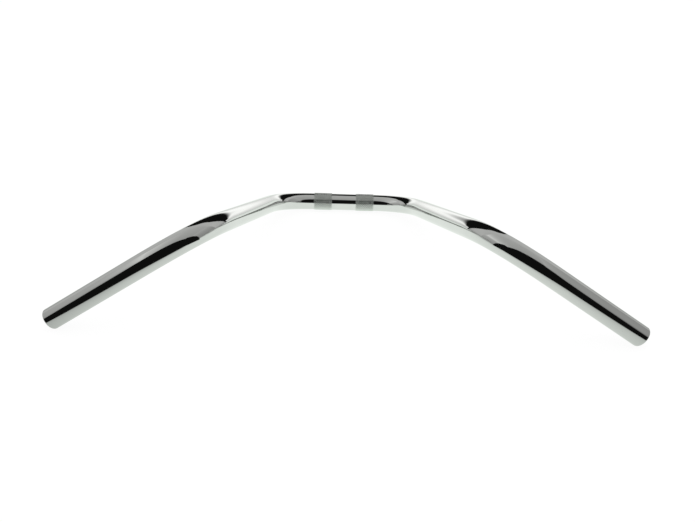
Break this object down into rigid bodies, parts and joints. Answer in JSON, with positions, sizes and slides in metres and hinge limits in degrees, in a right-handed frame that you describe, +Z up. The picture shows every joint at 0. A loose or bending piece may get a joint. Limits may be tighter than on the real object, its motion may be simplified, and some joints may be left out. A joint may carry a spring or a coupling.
{
  "type": "handlebar",
  "caption": "High-rise moped handlebar in chromed round tube, with a knurled clamp section, splayed risers, straight swept-back grip ends and open, rounded tube ends.",
  "frame": {"origin": "on the ground, at the centre of the bar's footprint as it lies at rest on its clamp sleeves and its grip ends", "axes": "+Z up from the ground, +X along the clamp section towards the right-hand end in the picture's view, +Y from the grip ends towards the clamp section"},
  "size_m": [0.5966, 0.3178, 0.1036],
  "materials": {
    "chrome_tube": "bright polished chrome plate on steel tube",
    "knurled_chrome": "satin chrome over a fine diamond knurl"
  },
  "bodies": {
    "root": {"bar_tube": "chrome_tube", "knurled_sleeve_left": "knurled_chrome", "knurled_sleeve_right": "knurled_chrome"}
  },
  "joints": []
}
